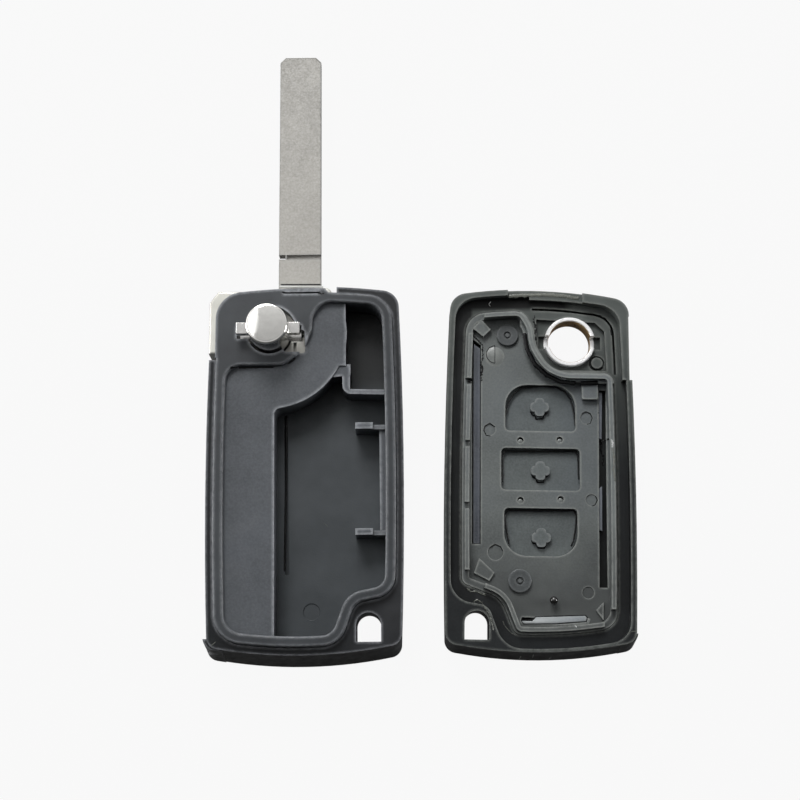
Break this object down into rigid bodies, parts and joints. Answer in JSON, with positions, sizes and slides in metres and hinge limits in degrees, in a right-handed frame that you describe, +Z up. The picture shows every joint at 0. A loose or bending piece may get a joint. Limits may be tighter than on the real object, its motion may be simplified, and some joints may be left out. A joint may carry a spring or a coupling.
{
  "type": "flip key remote shell",
  "caption": "Empty flip key remote shell opened into its two halves, with folding blade, release button, inner frame and rubber keys.",
  "frame": {"origin": "centre of the bounding box, on the plane the two halves lie on", "axes": "+Z up, inner faces up; +Y along the blade towards its tip; +X from the rear half to the front half"},
  "size_m": [0.0841, 0.1256, 0.017],
  "materials": {
    "black_shell": "satin black moulded plastic",
    "black_inner": "fine matt black moulded plastic",
    "bright_plate": "bright plated, lightly polished",
    "blade_steel": "fine sand-blasted nickel",
    "pin_steel": "plain steel",
    "key_rubber": "soft matt black"
  },
  "bodies": {
    "shell": {"rear_shell": "black_shell", "inner_tray": "black_inner", "front_shell": "black_shell", "front_frame": "black_inner", "button_ring": "bright_plate", "frame_rivet_upper": "black_inner", "frame_rivet_lower": "black_inner"},
    "head": {"flip_head": "bright_plate", "key_blade": "blade_steel", "blade_pin": "pin_steel", "flip_spring": "pin_steel"},
    "button": {"release_button": "bright_plate"},
    "key_top_body": {"key_top": "key_rubber"},
    "key_middle_body": {"key_middle": "key_rubber"},
    "key_bottom_body": {"key_bottom": "key_rubber"}
  },
  "joints": [
    {"name": "blade_flip", "type": "hinge", "parent": "shell", "child": "head", "pos_m": [-0.02977, 0.00153, 0.00515], "axis": [0, 0, 1], "range_deg": [0, 180], "stiffness_Nm_per_rad": 0.006},
    {"name": "button_press", "type": "slide", "parent": "head", "child": "button", "axis": [0, 0, -1], "range_m": [0, 0.0012], "stiffness_N_per_m": 900, "springref_m": -0.0005, "deforming": ["flip_spring"]},
    {"name": "key_top_press", "type": "slide", "parent": "shell", "child": "key_top_body", "axis": [0, 0, 1], "range_m": [0, 0.0005], "stiffness_N_per_m": 600},
    {"name": "key_middle_press", "type": "slide", "parent": "shell", "child": "key_middle_body", "axis": [0, 0, 1], "range_m": [0, 0.0005], "stiffness_N_per_m": 600},
    {"name": "key_bottom_press", "type": "slide", "parent": "shell", "child": "key_bottom_body", "axis": [0, 0, 1], "range_m": [0, 0.0005], "stiffness_N_per_m": 600}
  ]
}
